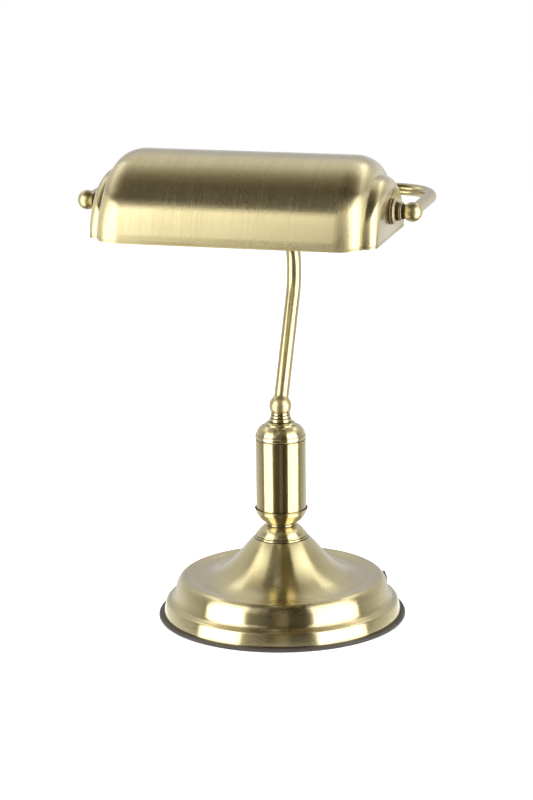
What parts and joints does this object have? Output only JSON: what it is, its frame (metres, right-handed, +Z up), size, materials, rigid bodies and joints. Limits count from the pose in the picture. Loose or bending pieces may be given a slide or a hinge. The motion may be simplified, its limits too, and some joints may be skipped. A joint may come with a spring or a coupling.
{
  "type": "banker's desk lamp",
  "caption": "Banker's desk lamp in antique brass: a stepped half-round shade that tilts on friction pivots, a bent stem, a turned column and a weighted round base.",
  "frame": {"origin": "on the column's axis, at the face that the lamp stands on", "axes": "+Z up, X along the shade, -Y to the front where the shade overhangs, +Y to the back where the stem bends"},
  "size_m": [0.2292, 0.2194, 0.334],
  "materials": {
    "antique_brass": "satin antique brass, lathe-spun and brushed, lacquered",
    "black_rubber": "matt moulded rubber",
    "black_fibre": "matt black fibre",
    "plated_steel": "zinc plated steel",
    "cast_weight": "rough cast iron",
    "dark_felt": "dense felt",
    "dark_plastic": "moulded thermoset plastic",
    "white_ceramic": "glazed ceramic",
    "bulb_metal": "rolled metal",
    "clear_glass": "frosted glass"
  },
  "bodies": {
    "stand": {"base_shell": "antique_brass", "base_edge_ring": "black_rubber", "base_weight": "cast_weight", "base_cover": "plated_steel", "cover_screws": "plated_steel", "felt_pad": "dark_felt", "cord_grommet": "black_rubber", "clamp_washer": "plated_steel", "clamp_nut": "plated_steel", "spacer_sleeve": "plated_steel", "threaded_rod": "plated_steel", "neck_collar": "antique_brass", "neck_ring": "antique_brass", "column_cup": "antique_brass", "column_tube": "antique_brass", "column_cap": "antique_brass", "cap_ring": "antique_brass", "stem_neck": "antique_brass", "stem_ball": "antique_brass", "stem_tube": "antique_brass", "bail_knuckle": "antique_brass", "bail_tube": "antique_brass", "pivot_ball_right": "antique_brass", "pivot_ball_left": "antique_brass", "pivot_spindle_right": "plated_steel", "pivot_spindle_left": "plated_steel", "pivot_nut_right": "plated_steel", "pivot_nut_left": "plated_steel", "inner_washer_right": "plated_steel", "inner_washer_left": "plated_steel", "friction_washer_right": "black_rubber", "friction_washer_left": "black_rubber", "friction_disc_right": "antique_brass", "friction_disc_left": "antique_brass", "fibre_washer_right": "black_fibre", "fibre_washer_left": "black_fibre", "spacer_ring_right": "antique_brass", "spacer_ring_left": "antique_brass", "neck_washer_right": "black_fibre", "neck_washer_left": "black_fibre"},
    "shade": {"shade_shell": "antique_brass", "socket_bracket": "plated_steel", "bracket_screws": "plated_steel", "bracket_nuts": "plated_steel", "socket_nipple": "plated_steel", "nipple_nut": "plated_steel", "lampholder_cap": "dark_plastic", "lampholder_body": "dark_plastic", "lampholder_insert": "white_ceramic", "lampholder_contact": "plated_steel", "bulb_cap": "bulb_metal", "bulb_glass": "clear_glass"}
  },
  "joints": [
    {"name": "shade_tilt", "type": "hinge", "parent": "stand", "child": "shade", "pos_m": [0, -0.077, 0.2993], "axis": [1, 0, 0], "range_deg": [-60, 60]}
  ]
}
